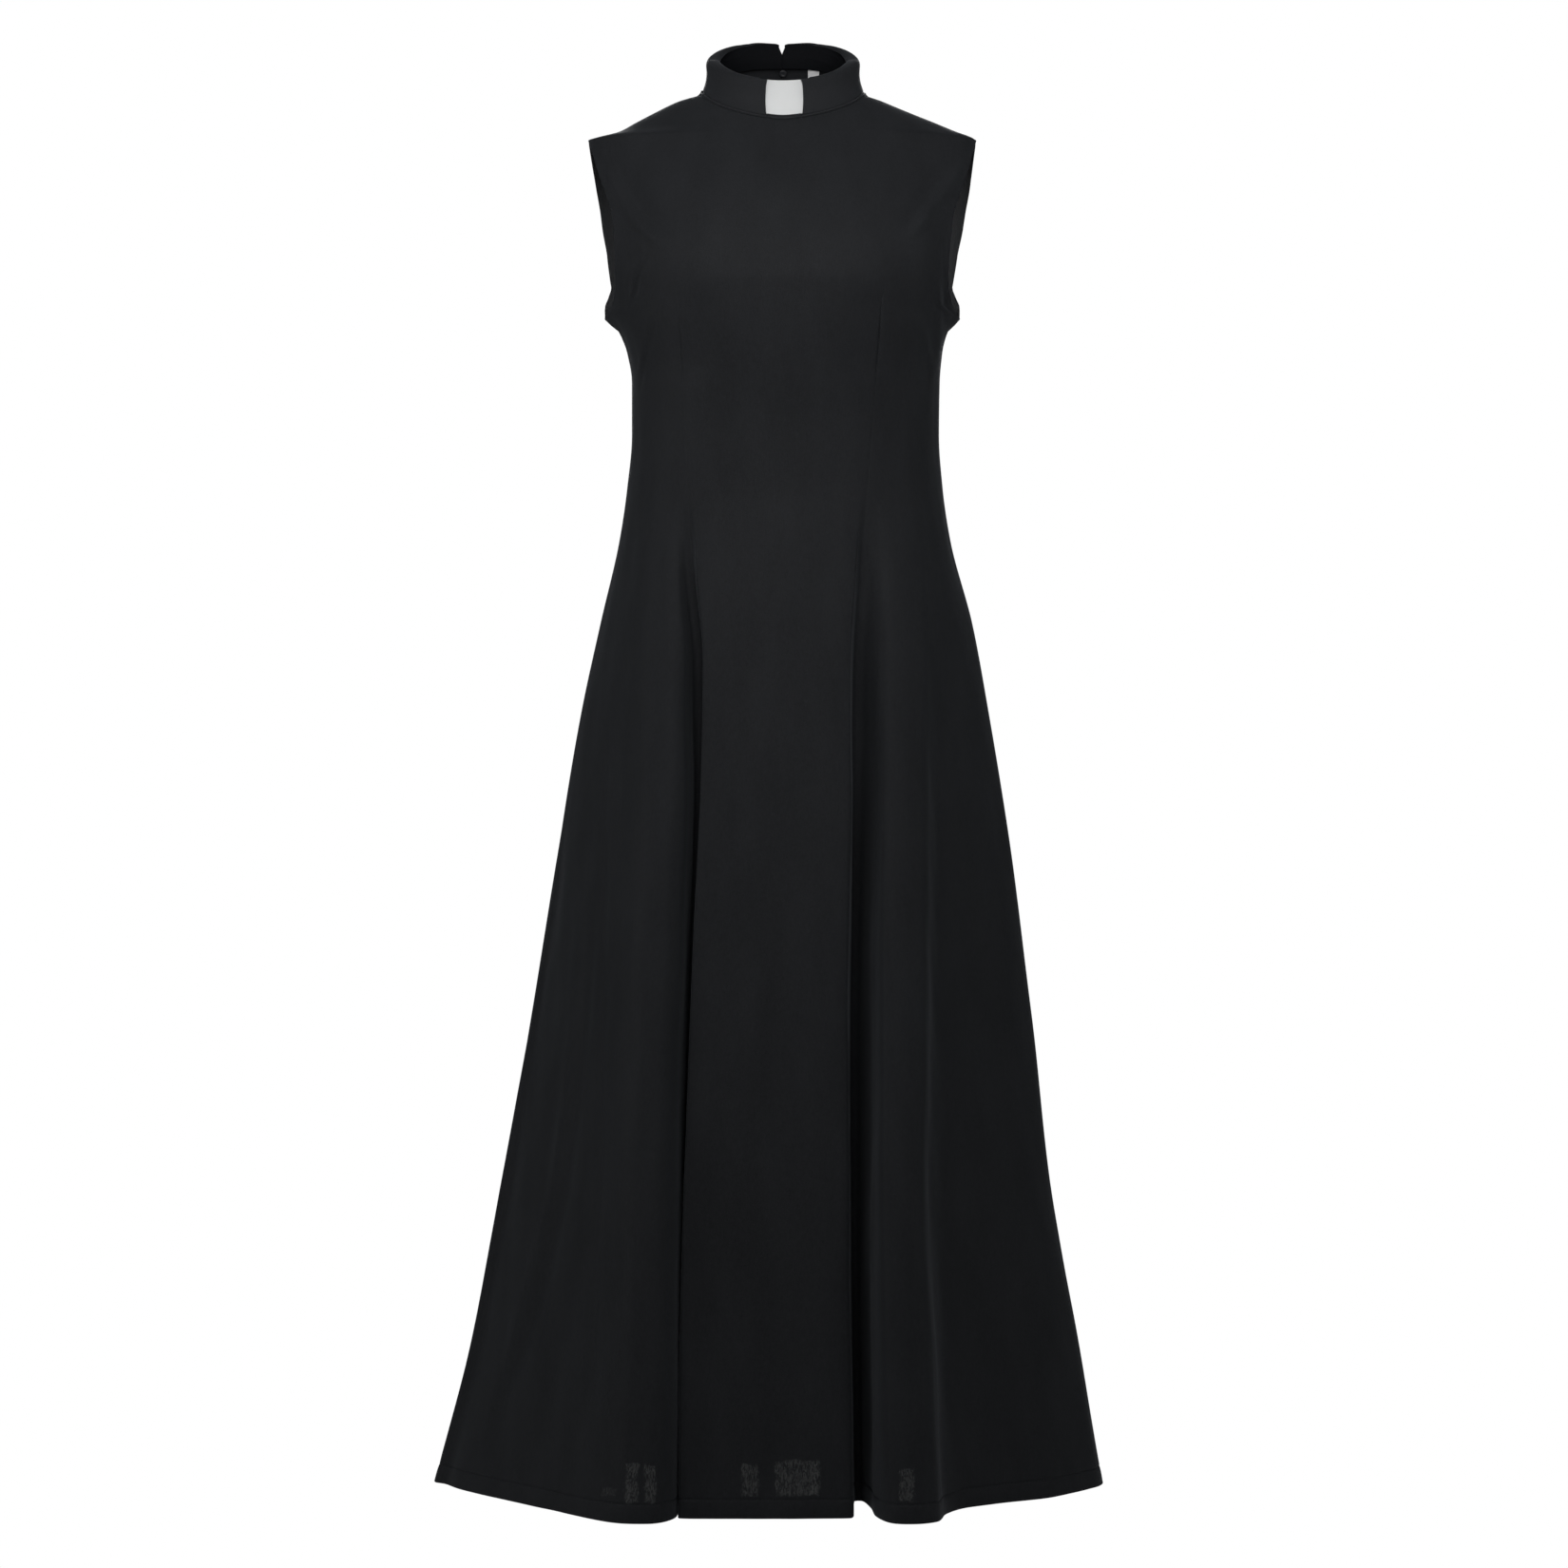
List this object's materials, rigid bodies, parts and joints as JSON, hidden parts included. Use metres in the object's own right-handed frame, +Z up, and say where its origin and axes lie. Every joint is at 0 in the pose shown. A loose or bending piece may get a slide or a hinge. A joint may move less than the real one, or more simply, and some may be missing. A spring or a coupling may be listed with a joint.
{
  "type": "clergy dress",
  "caption": "Sleeveless full-length flared dress with a stand collar and white tab, open at neck, armholes and hem, with a back zip.",
  "frame": {"origin": "midway between the two shoulder seams, at mid depth of the dress, where the wearer carries it", "axes": "+Z up, the front faces -Y, +X is the viewer's right when the front is seen"},
  "size_m": [0.6282, 0.4664, 1.3687],
  "materials": {
    "dress_cloth": "matte black crepe with a faint soft sheen",
    "collar_cloth": "the same black crepe, faced and firm",
    "white_tab": "smooth white plastic, softly glossy",
    "label_tape": "plain white woven tape, blank",
    "zip_tape": "black knitted zip tape",
    "zip_metal": "black lacquered metal, worn at the edges",
    "button_plastic": "dark grey plastic, satin"
  },
  "bodies": {
    "dress": {"front_centre": "dress_cloth", "side_front_left": "dress_cloth", "side_front_right": "dress_cloth", "back_left": "dress_cloth", "back_right": "dress_cloth", "collar_left": "collar_cloth", "collar_right": "collar_cloth", "collar_band": "collar_cloth", "tab_insert": "white_tab", "zip_tape_left": "zip_tape", "zip_tape_right": "zip_tape", "zip_slider": "zip_metal", "neck_button": "button_plastic", "size_label": "label_tape"},
    "zip_pull_tab": {"zip_pull": "zip_metal"}
  },
  "joints": [
    {"name": "zip_pull_hinge", "type": "hinge", "parent": "dress", "child": "zip_pull_tab", "pos_m": [0, 0.07476, 0.03149], "axis": [1, 0, 0], "range_deg": [0, 150]}
  ]
}
